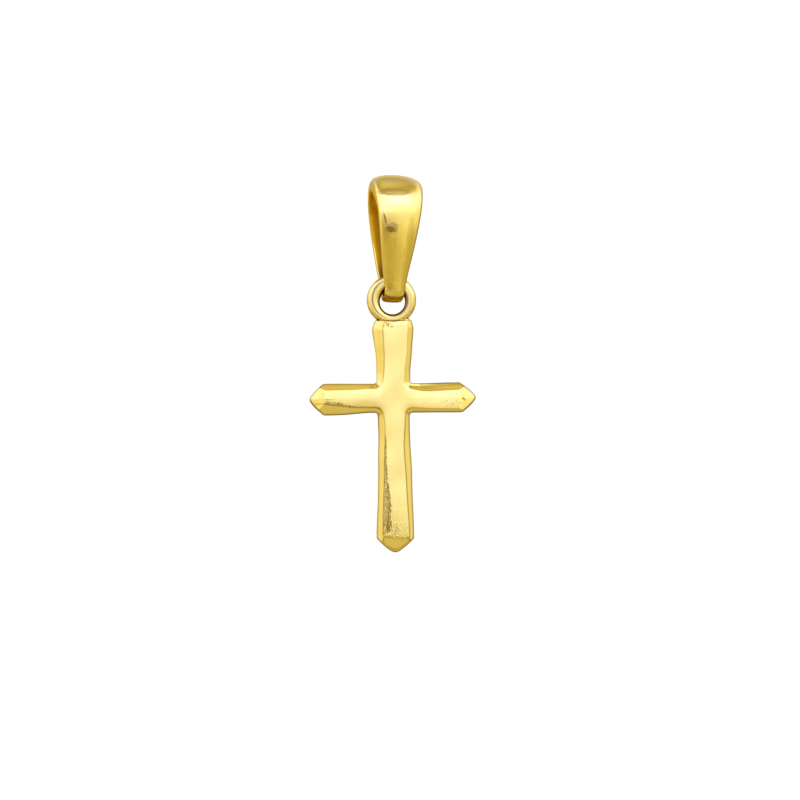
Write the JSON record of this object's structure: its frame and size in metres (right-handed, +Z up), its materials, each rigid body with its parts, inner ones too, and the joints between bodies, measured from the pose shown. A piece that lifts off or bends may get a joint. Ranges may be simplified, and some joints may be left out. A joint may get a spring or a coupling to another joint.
{
  "type": "cross pendant",
  "caption": "Small cast gold cross with bevelled, pointed arms and a flattened ring, swinging in a tapered bail that a neck chain passes through.",
  "frame": {"origin": "the seat inside the top of the bail's arch, where a chain lies", "axes": "+Z up along the hanging pendant, +X to the viewer's right along the arms of the cross, -Y out of its front face"},
  "size_m": [0.01, 0.004, 0.0227],
  "materials": {
    "cross_gold": "tumble-polished yellow gold with fine scratches",
    "bail_gold": "softly brushed yellow gold, bright at its edges"
  },
  "bodies": {
    "bail": {"bail": "bail_gold"},
    "cross": {"cross": "cross_gold"}
  },
  "joints": [
    {"name": "cross_swing", "type": "hinge", "parent": "bail", "child": "cross", "pos_m": [-0.00032, 0, -0.00603], "axis": [0.9753, 0.2164, -0.0443], "range_deg": [-50, 50]}
  ]
}
